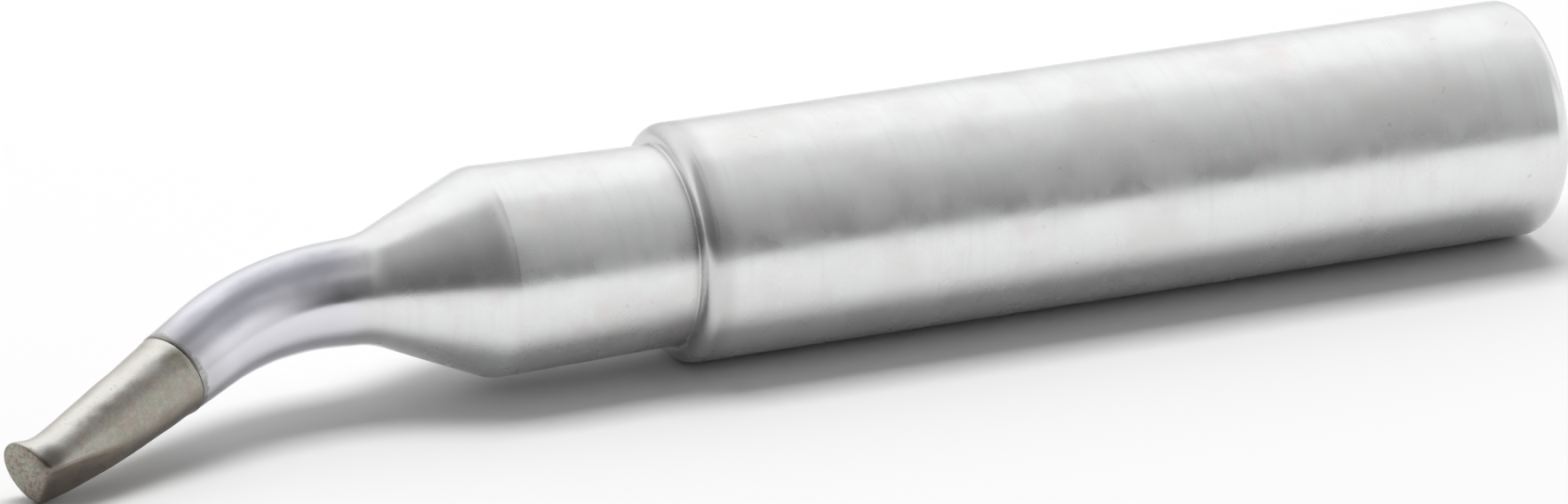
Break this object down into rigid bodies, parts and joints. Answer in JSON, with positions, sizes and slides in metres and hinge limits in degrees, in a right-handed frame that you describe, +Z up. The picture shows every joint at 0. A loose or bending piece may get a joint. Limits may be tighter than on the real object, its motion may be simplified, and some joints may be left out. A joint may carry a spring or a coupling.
{
  "type": "soldering iron tip",
  "caption": "Slip-on soldering iron tip: a straight barrel with a blind heater bore, a neck and cone, and a slim shaft bent to one side with a tinned, cut-off working end.",
  "frame": {"origin": "centre of the heater bore's open mouth, on the barrel's rear face", "axes": "+X runs along the barrel's axis and out of the bore's mouth, so the working end points to -X. +Z is up as the tip lies on its barrel and bent end. +Y is the side the shaft bends away from."},
  "size_m": [0.0454, 0.0076, 0.0064],
  "materials": {
    "plating": "smooth bright plating over copper, slightly satin, with faint handling marks",
    "tinning": "dull mottled tin on the working end, with brown and olive flux stains"
  },
  "bodies": {
    "root": {"soldering_tip": "plating"}
  },
  "joints": []
}
